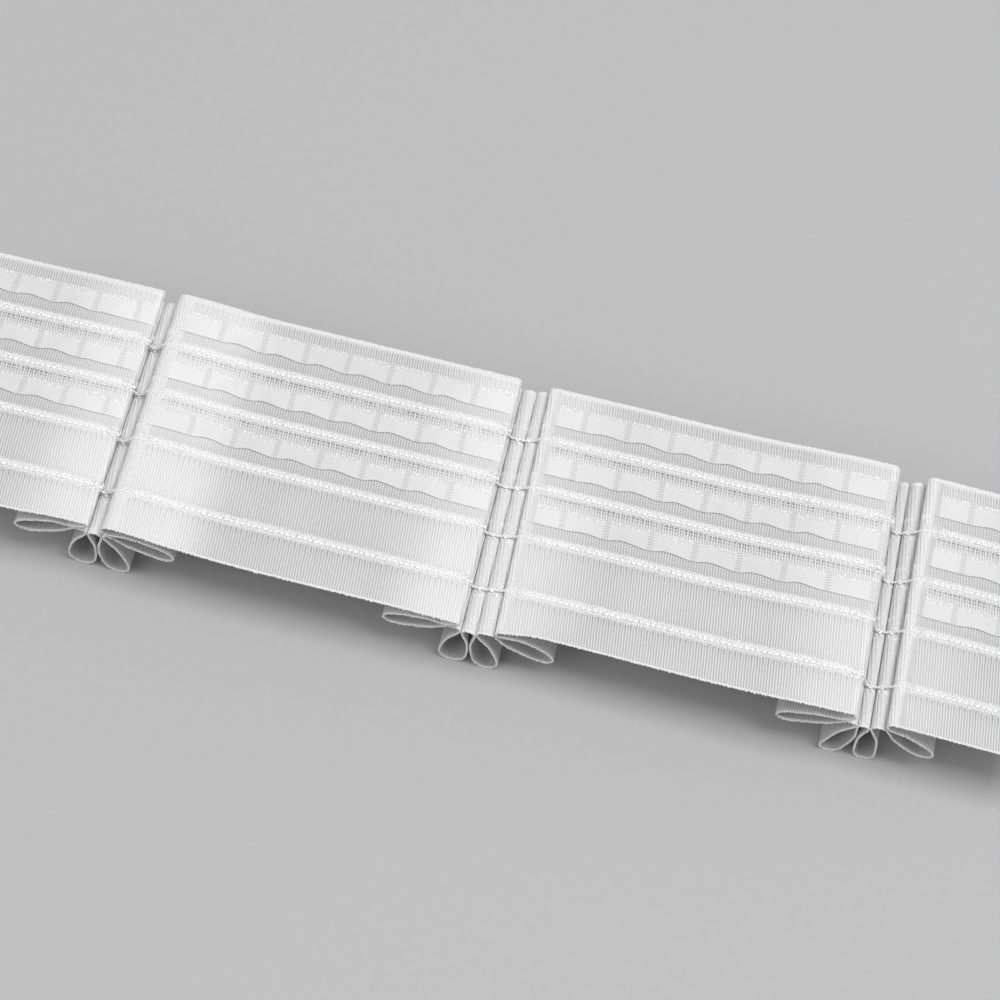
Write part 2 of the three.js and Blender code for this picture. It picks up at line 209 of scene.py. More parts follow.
def section(v):
    """The tape's middle line from the left cut end to the right, v = 0 at its bottom edge."""
    groups = [{k: mix(*pair, v) for k, pair in g.items()} for g in GROUPS]
    rib_mouth = RIB_TOP - MOUTH_DEPTH
    side_mouth = RIB_TOP + SIDE_MOUTH_RISE
    pieces = [panel_piece(PANELS[0], None, groups[0], v)]
    for i, g in enumerate(groups):
        mouths = (
            (g["seam"] + g["mouth"], side_mouth),
            (g["seam"], rib_mouth),
            (g["seam"] + g["rib"], rib_mouth),
            (g["seam"] + g["start"] - SIDE_MOUTH_INSET, side_mouth),
        )
        gaps = (SIDE_MOUTH_GAP, MOUTH_GAP, MOUTH_GAP, SIDE_MOUTH_GAP)
        following = [loop_piece(m, l, gap) for m, l, gap in zip(mouths, LOOPS[i], gaps)]
        after = groups[i + 1] if i + 1 < len(groups) else None
        following.append(panel_piece(PANELS[i + 1], g, after, v))
        for piece in following:
            pieces.append(fold_piece(pieces[-1], piece))
            pieces.append(piece)
    return pieces


sections = {}


def section_at(y):
    key = round(y, 3)
    if key not in sections:
        sections[key] = section(1 - y / TAPE_WIDTH)
    return sections[key]


def lines_at(y, places):
    """Points of the middle line, and its upward normals, at (piece, t) places."""
    pieces = section_at(y)
    index = np.array([p for p, _ in places])
    share = np.array([t for _, t in places])
    points = np.zeros((len(places), 2))
    normals = np.zeros((len(places), 2))
    for i in np.unique(index):
        at = index == i
        t = share[at]
        points[at] = pieces[i].point(t)
        ahead = pieces[i].point(np.minimum(1, t + 0.004)) - pieces[i].point(np.maximum(0, t - 0.004))
        ahead = unit(ahead)
        normals[at] = np.stack([-ahead[:, 1], ahead[:, 0]], -1)
    return points, normals


def across_tape(x, y):
    """World y of a place x along the tape and y down from its top edge."""
    x = np.asarray(x, float)
    k = np.clip(np.searchsorted(EDGE_WAVE_X, x, side="right"), 1, len(EDGE_WAVE_X) - 1)
    x0, x1 = np.take(EDGE_WAVE_X, k - 1), np.take(EDGE_WAVE_X, k)
    d0, d1 = np.take(EDGE_WAVE_DROP, k - 1), np.take(EDGE_WAVE_DROP, k)
    drop = mix(d1, d0, ease_off(x - x0, x1 - x0))
    share = np.maximum(0, (y - EDGE_WAVE_ROW) / (TAPE_WIDTH - EDGE_WAVE_ROW))
    return TOP_EDGE_Y - y - drop * share * share


def new_object(name, verts, faces, smooth_shaded=True):
    mesh = bpy.data.meshes.new(name)
    mesh.from_pydata((np.asarray(verts) * MM).tolist(), [], faces)
    mesh.update()
    if smooth_shaded:
        mesh.polygons.foreach_set("use_smooth", [True] * len(mesh.polygons))
    obj = bpy.data.objects.new(name, mesh)
    bpy.context.scene.collection.objects.link(obj)
    return obj


# Where the columns of the cloth lie: (piece, t), closer together on the panels
middle_section = section_at(TAPE_WIDTH / 2)
SPACING = {"panel": 0.95, "loop": 1.25, "fold": 0.7}
FEWEST_STEPS = 3
columns = []
for i, piece in enumerate(middle_section):
    line = piece.point(np.linspace(0, 1, 200))
    length = np.linalg.norm(np.diff(line, axis=0), axis=1).sum()
    count = max(FEWEST_STEPS, round(length / SPACING[piece.kind]))
    columns += [(i, k / count) for k in range(0 if i == 0 else 1, count + 1)]
middle_points, _ = lines_at(TAPE_WIDTH / 2, columns)
arc = np.concatenate([[0], np.linalg.norm(np.diff(middle_points, axis=0), axis=1).cumsum()])
is_panel = np.array([middle_section[i].kind == "panel" for i, _ in columns])

# u counts millimetres of cloth so that every panel's pocket seams fall on whole pitches
u_known, s_known = [], []
turns = 0
for i, piece in enumerate(middle_section):
    if piece.kind != "panel":
        continue
    here = [k for k, (p, _) in enumerate(columns) if p == i]
    first, last = here[0], here[-1]
    if u_known:
        wanted = u_known[-1] + arc[first] - s_known[-1]
        turns = round((wanted - (middle_points[first, 0] - piece.pocket)) / POCKET_PITCH)
    for k in (first, last):
        u_known.append(middle_points[k, 0] - piece.pocket + turns * POCKET_PITCH)
        s_known.append(arc[k])
u_of = np.interp(arc, s_known, u_known)
print("cloth length mm", round(arc[-1], 1))

# The tape is a little see-through, so its colour is painted whiter, as painted light, where more cloth
# lies under it, less so on the right-hand panels. For each panel: from where to where this fades after
# its start, and its share at the start and the end
PANEL_PAINTED_LIGHT = ((2, 27, 0, 0.9), (14, 31, 0.88, 0.9), (2, 27, 0.6, 0.6), (2, 27, 0.35, 0))
PANEL_PAINTED_LIGHT_END_FADE = (2, 27)
# Painted light also for each group's other ribs and last rib, which lie in the panels' shade, for loops,
# and for the folds beside panels, most at the crease where the fold before a panel starts
RIB_PAINTED_LIGHT = ((1.3, 1.25), (0.7, 0.6), (0.6, 0.5))
LOOP_PAINTED_LIGHT = 0.1
LAST_FOLD_PAINTED_LIGHT = 1.0
FIRST_FOLD_PAINTED_LIGHT = (0.8, 0.9)
FIRST_FOLD_FADE = (0.3, 0.8)

# Where the pocket flaps puff out and their lower edges arch: reaches from a pocket's seam and
# from the panel's edge, and shares of a pocket's width
PUFF_FROM_SEAM = (0.6, 4.5)
PUFF_FROM_EDGE = (5, 15)
ARCH_UP = (0.0, 0.36)
ARCH_DOWN = (0.36, 0.98)
ARCH_FROM_EDGE = (9, 20)
RELIEF_REACH = 2.0
CUT_END = 99.0

# Panel facts for each column
panels = [i for i, piece in enumerate(middle_section) if piece.kind == "panel"]
edge_distance = np.zeros(len(columns))
painted_light = np.zeros(len(columns))
for k, (i, t) in enumerate(columns):
    piece = middle_section[i]
    if piece.kind == "panel":
        x = middle_points[k, 0]
        to_start = x - piece.start if i > 0 else CUT_END
        to_end = piece.end - x if i < len(middle_section) - 1 else CUT_END
        edge_distance[k] = min(to_start, to_end)
        first_reach, last_reach, at_start, at_end = PANEL_PAINTED_LIGHT[panels.index(i)]
        from_start = at_start * (1 - smooth(first_reach, last_reach, to_start))
        painted_light[k] = max(from_start, at_end * (1 - smooth(*PANEL_PAINTED_LIGHT_END_FADE, to_end)))
    elif piece.kind == "loop":
        painted_light[k] = LOOP_PAINTED_LIGHT
    elif i - 1 in panels:
        painted_light[k] = LAST_FOLD_PAINTED_LIGHT
    elif i + 1 in panels:
        least, extra = FIRST_FOLD_PAINTED_LIGHT
        painted_light[k] = least + extra * (1 - smooth(*FIRST_FOLD_FADE, t))
    else:
        other_rib, last_rib = RIB_PAINTED_LIGHT[sum(p < i for p in panels) - 1]
        painted_light[k] = last_rib if i + 3 in panels else other_rib
relief = np.clip(edge_distance / RELIEF_REACH, 0, 1) * is_panel
phase = np.mod(u_of, POCKET_PITCH)
from_seam = np.minimum(phase, POCKET_PITCH - phase)
puff = smooth(*PUFF_FROM_SEAM, from_seam) * smooth(*PUFF_FROM_EDGE, edge_distance)
across_pocket = phase / POCKET_PITCH
arch_shape = smooth(*ARCH_UP, across_pocket) * (1 - smooth(*ARCH_DOWN, across_pocket))
arch_shape = arch_shape * smooth(*ARCH_FROM_EDGE, edge_distance)

# The thin cloth lies at the outer side of its solid: the face's on panels and ribs, and the
# back's round the loops. At a loop's mouth the two walls press together
MOUTH_PRESS = 0.17
SIDE_MOUTH_PRESS = 0.42
WALL_CROSSOVER = (0.02, 0.14)
WALL_PRESS_REACH = 0.1
RIB_PRESS_REACH = 0.3


def press_of(i):
    """How far loop i's walls press together."""
    return SIDE_MOUTH_PRESS if i - 2 in panels or i + 2 in panels else MOUTH_PRESS


side = np.full(len(columns), CLOTH_OUT)
for k, (i, t) in enumerate(columns):
    kind = middle_section[i].kind
    if kind == "panel":
        continue
    if kind == "loop":
        from_mouth = min(t, 1 - t)
        side[k] = CLOTH_OUT * (1 - 2 * smooth(*WALL_CROSSOVER, from_mouth))
        side[k] += press_of(i) * (1 - smooth(0, WALL_PRESS_REACH, from_mouth))
    else:
        after_loop = (1 - smooth(0, RIB_PRESS_REACH, t)) * (i - 1 not in panels)
        before_loop = (1 - smooth(0, RIB_PRESS_REACH, 1 - t)) * (i + 1 not in panels)
        side[k] += press_of(i - 1) * after_loop + press_of(i + 1) * before_loop

ZONES = ("plain", "pocket", "open", "dotted", "band", "selvedge", "back", "rib")

# Heights above the cloth's face: each strip's sunk border, the selvedges, a flap's lip and puff,
# and how far its lower edge arches up
BORDER_SINK = 0.05
TOP_SELVEDGE_LIFT = 0.08
LOW_SELVEDGE_LIFT = 0.04
LIP_LIFT = 0.14
PUFF_LIFT = 0.2
ARCH_RISE = 0.8
FLAP_ROWS = (0.0, 0.04, 0.12, 0.25, 0.4, 0.55, 0.7, 0.82, 0.92, 0.97)
BAND_PROFILE = ((0, 0.0), (0.12, 0.22), (0.35, 0.34), (0.65, 0.34), (0.88, 0.22))


def face_rows():
    """Rows down the face: nominal y, y offset, lift and the zone that starts there."""
    rows = []
    flat = np.zeros(len(columns))

    def add(y, zone, lift=flat, shift=flat):
        rows.append((y, shift, lift, zone))

    def spread(a, b, count, zone):
        for k in range(count):
            add(mix(a, b, k / count), zone)

    add(0, "selvedge", flat - BORDER_SINK)
    add(0.25, "selvedge", flat + TOP_SELVEDGE_LIFT)
    add(0.9, "selvedge", flat + TOP_SELVEDGE_LIFT)
    spread(1.15, POCKET_ROWS[0][0], 3, "plain")
    for k, (top, bottom) in enumerate(POCKET_ROWS):
        band_top, band_bottom = BANDS[k]
        arch = -ARCH_RISE * arch_shape
        lip = LIP_LIFT + PUFF_LIFT * puff
        for w in FLAP_ROWS:
            lift = LIP_LIFT * min(1, w / FLAP_ROWS[1]) + PUFF_LIFT * puff * w**1.6
            add(mix(top, bottom, w), "pocket", lift, arch * w**2)
        add(bottom, "pocket", lip - BORDER_SINK, arch)
        add(bottom, "open", 0.3 * lip, arch - 0.05)
        add(bottom, "open", flat - BORDER_SINK, arch - 0.15)
        add(bottom, "open", flat - BORDER_SINK, arch + 0.05)
        add(mix(bottom, band_top, 0.5), "open", flat - 0.06)
        band(add, BANDS[k])
        if k < len(POCKET_ROWS) - 1:
            below = POCKET_ROWS[k + 1][0]
            add(band_bottom, "dotted", flat - BORDER_SINK)
            add(mix(band_bottom, below, 0.5), "dotted", flat - 0.03)
    low_band_top, low_band_bottom = BANDS[-1]
    spread(band_bottom, 61.4, 6, "plain")
    band(add, (low_band_top, low_band_bottom))
    spread(low_band_bottom, 74.4, 5, "plain")
    add(74.45, "selvedge", flat + LOW_SELVEDGE_LIFT)
    add(74.8, "selvedge", flat + LOW_SELVEDGE_LIFT)
    add(75, "selvedge", flat - BORDER_SINK)
    return rows


def band(add, edges):
    flat = np.zeros(len(columns))
    top, bottom = edges
    for w, lift in BAND_PROFILE:
        add(mix(top, bottom, w), "band", flat + lift)


def above_floor(points, world_y):
    return np.stack([points[:, 0], world_y, np.maximum(points[:, 1], 0)], -1)


EDGE_UNEVEN = 0.07
rng = np.random.default_rng(7)
rows = face_rows()
face_at = []
for y, shift, lift, _ in rows:
    points, normals = lines_at(y, columns)
    real_y = y + shift * relief
    out = side + CLOTH_HALF + lift * relief
    points = points + normals * out[:, None]
    ragged = rng.normal(0, EDGE_UNEVEN, len(columns)) if y in (0, 75) else 0
    face_at.append(above_floor(points, across_tape(points[:, 0], real_y) + ragged))
BACK_ROWS = (0.2, 0.9, 4.8, 9, 14.7, 18.2, 24, 29.9, 33.4, 39, 45, 48.5, 55, 61.4, 64.9, 70, 74.1, 74.8)
back_at = []
for y in BACK_ROWS:
    points, normals = lines_at(y, columns)
    points = points + normals * (side - CLOTH_HALF)[:, None]
    back_at.append(above_floor(points, across_tape(points[:, 0], y)))
n_columns = len(columns)
n_face = len(rows)
n_back = len(BACK_ROWS)
verts = np.concatenate(face_at + back_at)
row_ys = [row[0] for row in rows] + list(BACK_ROWS)
v_of = np.repeat(np.array(row_ys, float), n_columns)
faces, zone_of, uv_zone = [], [], []


# The pocket rows show on the panels from a little after their start, and round their last fold.
# The ribs and loops look plain but for the bands and selvedges
ROWS_FROM = 2.4
in_panel = np.zeros(n_columns, bool)
for k, (i, _) in enumerate(columns):
    if i in panels:
        in_panel[k] = i == 0 or middle_points[k, 0] - middle_section[i].start > ROWS_FROM
    else:
        in_panel[k] = i - 1 in panels


def at_face(r, c):
    return r * n_columns + c


def at_back(r, c):
    return (n_face + r) * n_columns + c


for r in range(n_face - 1):
    zone = rows[r][3]
    if r == 0 or rows[r - 1][3] != zone:
        top = rows[r][0]
        after = [q for q in range(r, n_face) if rows[q][3] != zone]
        bottom = rows[after[0]][0] if after else TAPE_WIDTH
    for c in range(n_columns - 1):
        faces.append((at_face(r, c), at_face(r + 1, c), at_face(r + 1, c + 1), at_face(r, c + 1)))
        woven = zone if in_panel[c + 1] or zone in ("selvedge", "band") else "rib"
        zone_of.append(ZONES.index(woven))
    uv_zone += [(rows[r][0] - top, rows[r + 1][0] - top, bottom - top)] * (n_columns - 1)
for r in range(n_back - 1):
    for c in range(n_columns - 1):
        faces.append((at_back(r, c), at_back(r, c + 1), at_back(r + 1, c + 1), at_back(r + 1, c)))
    zone_of += [ZONES.index("back")] * (n_columns - 1)
for c in range(n_columns - 1):
    faces.append((at_face(0, c), at_face(0, c + 1), at_back(0, c + 1), at_back(0, c)))
    low_face, low_back = at_face(n_face - 1, c), at_back(n_back - 1, c)
    faces.append((low_face, low_back, low_back + 1, low_face + 1))
zone_of += [ZONES.index("selvedge")] * (2 * (n_columns - 1))
down_face, down_back = range(n_face), range(n_back)
faces.append([at_face(r, 0) for r in down_face] + [at_back(r, 0) for r in reversed(down_back)])
last = n_columns - 1
faces.append([at_face(r, last) for r in reversed(down_face)] + [at_back(r, last) for r in down_back])
zone_of += [ZONES.index("back")] * 2
tape = new_object("heading_tape", verts, faces)
print("tape triangles", sum(len(f) - 2 for f in faces))

mesh = tape.data
corner = np.zeros(len(mesh.loops), int)
mesh.loops.foreach_get("vertex_index", corner)
cloth = np.stack([np.tile(u_of, n_face + n_back)[corner], v_of[corner]], -1)
mesh.uv_layers.new(name="cloth").data.foreach_set("uv", cloth.ravel())
zone_uv = np.zeros((len(mesh.loops), 2))
for f, (a, b, size) in enumerate(uv_zone):
    zone_uv[4 * f : 4 * f + 4, 0] = (a, b, b, a)
    zone_uv[4 * f : 4 * f + 4, 1] = (size - a, size - b, size - b, size - a)
mesh.uv_layers.new(name="zone").data.foreach_set("uv", zone_uv.ravel())
mesh.polygons.foreach_set("material_index", zone_of)

# Each point's share of painted light, read by the tape's materials
backing = mesh.attributes.new("backing", "FLOAT", "POINT")
backing.data.foreach_set("value", np.tile(painted_light, n_face + n_back))


class Graph:
    """Builds a material's nodes from plain expressions."""

    def __init__(self, name):
        self.material = bpy.data.materials.new(name)
        self.material.use_nodes = True
        self.tree = self.material.node_tree
        self.shader = self.tree.nodes["Principled BSDF"]

    def node(self, kind, **settings):
        made = self.tree.nodes.new(kind)
        for key, value in settings.items():
            setattr(made, key, value)
        return made

    def put(self, socket, value):
        if isinstance(value, bpy.types.NodeSocket):
            self.tree.links.new(value, socket)
        else:
            socket.default_value = value

    def math(self, operation, *values):
        made = self.node("ShaderNodeMath", operation=operation)
        for socket, value in zip(made.inputs, values):
            self.put(socket, value)
        return made.outputs[0]

    def add(self, *v):
        return self.math("ADD", *v)

    def sub(self, *v):
        return self.math("SUBTRACT", *v)

    def mul(self, *v):
        return self.math("MULTIPLY", *v)

    def mad(self, a, b, c):
        return self.math("MULTIPLY_ADD", a, b, c)

    def wave(self, phase):
        """0 to 1 to 0 over each whole step of phase."""
        return self.mad(self.math("COSINE", self.mul(phase, 2 * math.pi)), -0.5, 0.5)

    def step(self, low, high, x):
        made = self.node("ShaderNodeMapRange", interpolation_type="SMOOTHSTEP")
        self.put(made.inputs["Value"], x)
        made.inputs["From Min"].default_value = low
        made.inputs["From Max"].default_value = high
        return made.outputs["Result"]

    def mix(self, factor, a, b):
        made = self.node("ShaderNodeMix", data_type="FLOAT")
        self.put(made.inputs["Factor"], factor)
        self.put(made.inputs["A"], a)
        self.put(made.inputs["B"], b)
        return made.outputs["Result"]

    def uv(self, name):
        made = self.node("ShaderNodeUVMap", uv_map=name)
        apart = self.node("ShaderNodeSeparateXYZ")
        self.put(apart.inputs[0], made.outputs[0])
        return apart.outputs[0], apart.outputs[1]

    def noise(self, x, y, scale=1.0, detail=2.0):
        together = self.node("ShaderNodeCombineXYZ")
        self.put(together.inputs[0], x)
        self.put(together.inputs[1], y)
        made = self.node("ShaderNodeTexNoise")
        made.inputs["Scale"].default_value = scale
        made.inputs["Detail"].default_value = detail
        self.put(made.inputs["Vector"], together.outputs[0])
        return made.outputs[0]

    def finish(self, shade, height, roughness=0.85, sheen=0.15, depth=1.0):
        """shade is a grey level from 0 to 1 and height is in millimetres."""
        grey = self.node("ShaderNodeCombineColor")
        for socket in grey.inputs:
            self.put(socket, shade)
        self.put(self.shader.inputs["Base Color"], grey.outputs[0])
        bump = self.node("ShaderNodeBump")
        bump.inputs["Strength"].default_value = depth
        bump.inputs["Distance"].default_value = MM
        self.put(bump.inputs["Height"], height)
        self.put(self.shader.inputs["Normal"], bump.outputs[0])
        self.shader.inputs["Roughness"].default_value = roughness
        self.shader.inputs["Sheen Weight"].default_value = sheen
        self.shader.inputs["Specular IOR Level"].default_value = 0.3
        return self.material


# The weave's ribs and the beads along them
RIB_PITCH = 0.755
RIB_SLANT = 0.085
BEAD_PITCH = 0.62
TWILL_PITCH = 0.92
SEAM_STITCH_PITCH = 0.78
SLOT_PITCH = 1.8 * RIB_PITCH

# Lightness of each kind of cloth with no painted light and with full painted light. The levels for
# grooves, the open weave's gaps and the dotted strip's slots are painted shade, and the band cloth is
# painted darker as shade between its stitches
LEVEL = {
    "rib": (0.50, 0.84),
    "plain": (0.79, 0.95),
    "plain_groove": (0.32, 0.20),
    "pocket": (0.65, 0.76),
    "pocket_seam": (0.56, 0.68),
    "open_gap": (0.48, 0.72),
    "open_bar": (0.86, 0.96),
    "dotted": (0.83, 0.93),
    "dotted_groove": (-0.36, -0.20),
    "dotted_slot": (-0.34, -0.2),
    "band": (0.54, 0.70),
}
SELVEDGE_LEVEL = 0.72


def cloth_material(kind):
    g = Graph("tape_" + kind)
    u, v = g.uv("cloth")
    from_top, _ = g.uv("zone")
    wobble = g.mad(g.noise(u, v, 0.35), 0.3, -0.15)
    x = g.add(g.mad(v, -RIB_SLANT, u), wobble)
    phase = g.math("DIVIDE", x, RIB_PITCH)
    rib = g.wave(phase)
    parity = g.mul(g.math("FLOOR", phase), 0.5)
    bead = g.wave(g.add(g.math("DIVIDE", v, BEAD_PITCH), parity))
    yarn = g.sub(g.noise(g.mul(x, 2.2), g.mul(v, 1.1), 1.0, 3.0), 0.5)
    fine = g.noise(u, v, 4.0, 2.0)
    patch = g.noise(u, v, 0.22, 1.0)
    twin = g.wave(g.mul(phase, 0.5))
    # How much painted light this point's cloth gets
    painted_light_fac = g.node("ShaderNodeAttribute", attribute_name="backing").outputs["Fac"]
    slow = g.mad(g.noise(u, v, 0.06, 1.0), 0.08, -0.04)
    if kind == "rib":
        speck = g.step(0.5, 0.68, g.noise(g.mul(u, 1.3), v, 1.3, 1.0))
        lines = g.mul(g.sub(bead, 0.5), 0.08)
        smooth_cloth = g.mad(yarn, 0.1, g.mad(speck, 0.07, g.mix(painted_light_fac, *LEVEL["rib"])))
        shade = g.add(g.mad(rib, 0.06, smooth_cloth), lines)
        height = g.mad(rib, 0.10, g.mul(g.mul(bead, rib), 0.08))
    elif kind in ("plain", "back"):
        level = g.mix(painted_light_fac, *LEVEL["plain"])
        # Painted shade in the grooves between the ribs
        groove_shade = g.mul(g.sub(1.0, rib), g.mix(painted_light_fac, *LEVEL["plain_groove"]))
        if kind == "plain":
            near_top = g.math("POWER", 0.5, from_top)
            groove_shade = g.mad(g.mul(g.sub(1.0, twin), near_top), 0.16, groove_shade)
            groove_shade = g.mul(groove_shade, g.mad(g.step(1.2, 2.4, v), 0.7, 0.3))
        shade = g.sub(g.add(level, g.mad(yarn, 0.16, slow)), groove_shade)
        shade = g.mad(g.mul(g.sub(bead, 0.5), rib), 0.14, shade)
        height = g.mad(rib, 0.13, g.mul(g.mul(bead, rib), 0.04))
    elif kind == "pocket":
        twill = g.wave(g.math("DIVIDE", g.add(g.sub(u, v), g.mul(wobble, 1.5)), TWILL_PITCH))
        dots = g.step(0.42, 0.62, g.noise(g.mul(u, 1.3), v, 1.25, 1.0))
        upper = g.step(2.9, 1.5, g.mad(patch, 1.2, from_top))
        drifting = g.mad(g.noise(u, v, 0.5), 3.0, g.sub(u, 1.5))
        share = g.math("FRACT", g.math("DIVIDE", drifting, POCKET_PITCH))
        calm = g.mul(g.step(0.42, 0.6, share), g.step(0.3, 0.5, g.sub(1.0, patch)))
        weave = g.mix(upper, g.mix(calm, twill, 0.35), g.mul(dots, 1.15))
        wavering = g.mad(g.noise(u, v, 0.8), 0.5, g.sub(u, 0.25))
        seam_at = g.math("PINGPONG", wavering, POCKET_PITCH / 2)
        on_seam = g.step(1.05, 0.6, seam_at)
        oval = g.wave(g.math("DIVIDE", g.mad(fine, 0.3, v), SEAM_STITCH_PITCH))
        inside = g.mix(on_seam, g.mul(weave, 0.16), g.mul(oval, 0.24))
        flap_level, seam_level = (g.mix(painted_light_fac, *LEVEL[name]) for name in ("pocket", "pocket_seam"))
        level = g.mix(on_seam, flap_level, seam_level)
        shade = g.add(g.add(level, inside), g.mad(yarn, 0.08, slow))
        height = g.mix(on_seam, g.mul(weave, 0.09), g.mul(oval, 0.16))
        height = g.mad(fine, 0.03, height)
    elif kind == "open":
        slot = g.step(0.15, 0.6, rib)
        bars = g.mul(slot, g.mad(bead, 0.7, 0.3))
        # Painted shade in the open weave's gaps, standing in for openings
        painted_gap_shade = g.mix(painted_light_fac, *LEVEL["open_gap"])
        # Painted shadow under the pocket flap's lip, at the top of the open strip
        painted_lip_shadow = g.mad(g.step(0.0, 0.35, from_top), 0.18, 0.82)
        shade = g.mul(g.mix(bars, painted_gap_shade, g.mix(painted_light_fac, *LEVEL["open_bar"])), painted_lip_shadow)
        height = g.mul(bars, 0.2)
    elif kind == "dotted":
        columns_at = g.step(0.12, 0.45, g.wave(g.math("DIVIDE", x, SLOT_PITCH)))
        upper_row = g.step(0.28, 0.12, g.math("ABSOLUTE", g.sub(from_top, 0.35)))
        lower_row = g.step(0.28, 0.12, g.math("ABSOLUTE", g.sub(from_top, 1.2)))
        uneven = g.step(0.3, 0.6, g.noise(u, v, 0.3, 1.0))
        slot = g.mul(g.mul(columns_at, g.mad(uneven, 0.6, 0.4)), g.mad(lower_row, 0.6, upper_row))
        # Painted shade in the grooves between the ribs and in the strip's slots
        names = ("dotted_groove", "dotted", "dotted_slot")
        groove_shade, level, painted_slot_shade = (g.mix(painted_light_fac, *LEVEL[name]) for name in names)
        level = g.mad(g.sub(1.0, rib), groove_shade, level)
        level = g.mad(g.mul(g.sub(bead, 0.5), rib), 0.16, level)
        shade = g.mad(slot, painted_slot_shade, g.mad(yarn, 0.1, level))
        height = g.mad(rib, 0.12, g.mul(slot, -0.2))
    elif kind == "band":
        curl = g.noise(g.mul(x, 1.6), g.mul(v, 2.6), 1.0, 2.0)
        # The band cloth seen between the stitches is painted darker as shade
        level = g.mix(painted_light_fac, *LEVEL["band"])
        shade = g.mad(g.step(0.35, 0.6, curl), 0.22, level)
        height = g.mad(curl, 0.3, g.mul(rib, 0.05))
    else:
        dash = g.wave(g.math("DIVIDE", g.mad(v, 1.2, u), 0.9))
        shade = g.mad(dash, 0.24, g.mad(yarn, 0.3, SELVEDGE_LEVEL))
        height = g.mad(dash, 0.12, g.mul(fine, 0.06))
    return g.finish(g.math("MINIMUM", shade, 1.0), height)


for kind in ZONES:
    tape.data.materials.append(cloth_material(kind))


def yarn_material(name, level, scale):
    g = Graph(name)
    where = g.node("ShaderNodeTexCoord").outputs["Object"]
    apart = g.node("ShaderNodeSeparateXYZ")
    g.put(apart.inputs[0], where)
    x, y = g.mul(apart.outputs[0], 1 / MM), g.mul(apart.outputs[1], 1 / MM)
    fibre = g.noise(g.mul(x, 1.0), g.mul(y, 2.5), scale, 3.0)
    shade = g.mad(fibre, 0.14, level)
    return g.finish(g.math("MINIMUM", shade, 1.0), g.mul(fibre, 0.12), roughness=0.7, sheen=0.25)


# The pearls and the band's ground stitches are the same white yarn: the pearls are painted whiter as
# their highlight, the ground stitches greyer as shade
pearl_yarn = yarn_material("pearl_yarn", 0.93, 1.8)
band_yarn = yarn_material("band_yarn", 0.77, 1.8)
edge_yarn = yarn_material("edge_yarn", 0.76, 1.8)
cord_yarn = yarn_material("cord_yarn", 0.86, 2.4)


def ball(rings, sides):
    """A unit ball's points and faces, poles along z."""
    points, shapes = [(0, 0, 1)], []
    for i in range(1, rings):
        for k in range(sides):
            a, b = math.pi * i / rings, 2 * math.pi * k / sides
            points.append((math.sin(a) * math.cos(b), math.sin(a) * math.sin(b), math.cos(a)))
    points.append((0, 0, -1))
    for k in range(sides):
        n = (k + 1) % sides
        shapes.append((0, 1 + k, 1 + n))
        for i in range(rings - 2):
            a, b = 1 + i * sides, 1 + (i + 1) * sides
            shapes.append((a + k, b + k, b + n, a + n))
        low = 1 + (rings - 2) * sides
        shapes.append((len(points) - 1, low + n, low + k))
    return np.array(points), shapes


BALL, BALL_FACES = ball(4, 6)


class Blobs:
    """Gathers many small rounded stitches into one mesh."""

    def __init__(self):
        self.points, self.faces, self.yarns = [], [], []

    def add(self, centre, normal, size, turn, yarn=0):
        """normal is the section's, and size the half extents along, across and out of the cloth."""
        up = np.array([normal[0], 0, normal[1]])
        along = np.array([normal[1], 0, -normal[0]])
        across = np.array([0.0, -1.0, 0.0])
        c, s = math.cos(turn), math.sin(turn)
        axis_a = c * along + s * across
        axis_b = c * across - s * along
        base = len(self.points) * len(BALL)
        parts = zip((axis_a, axis_b, up), size, BALL.T)
        shape = sum(unit_ball[:, None] * half * axis for axis, half, unit_ball in parts)
        self.points.append(centre + shape)
        self.faces += [tuple(base + i for i in f) for f in BALL_FACES]
        self.yarns += [yarn] * len(BALL_FACES)

    def make(self, name, materials):
        made = new_object(name, np.concatenate(self.points), self.faces)
        for material in materials:
            made.data.materials.append(material)
        made.data.polygons.foreach_set("material_index", self.yarns)
        print(name, "triangles", sum(len(f) - 2 for f in self.faces))
        return made


def stitched_stretches(y):
    """Yields each piece on which a band's stitches show, with the t where they start and end."""
    pieces = section_at(y)
    for i, piece in enumerate(pieces):
        if piece.kind == "panel":
            first = STITCHES_FROM / (piece.end - piece.start) if i > 0 else 0.0
            yield i, first, 1.0
        elif piece.kind == "fold" and pieces[i - 1].kind == "panel":
            yield i, 0.0, LAST_FOLD_STITCHED
        elif piece.kind != "loop" and pieces[i + 1].kind != "panel":
            yield i, *RIB_STITCHED


STITCHES_FROM = 3.2
LAST_FOLD_STITCHED = 0.45
RIB_STITCHED = (0.22, 0.78)

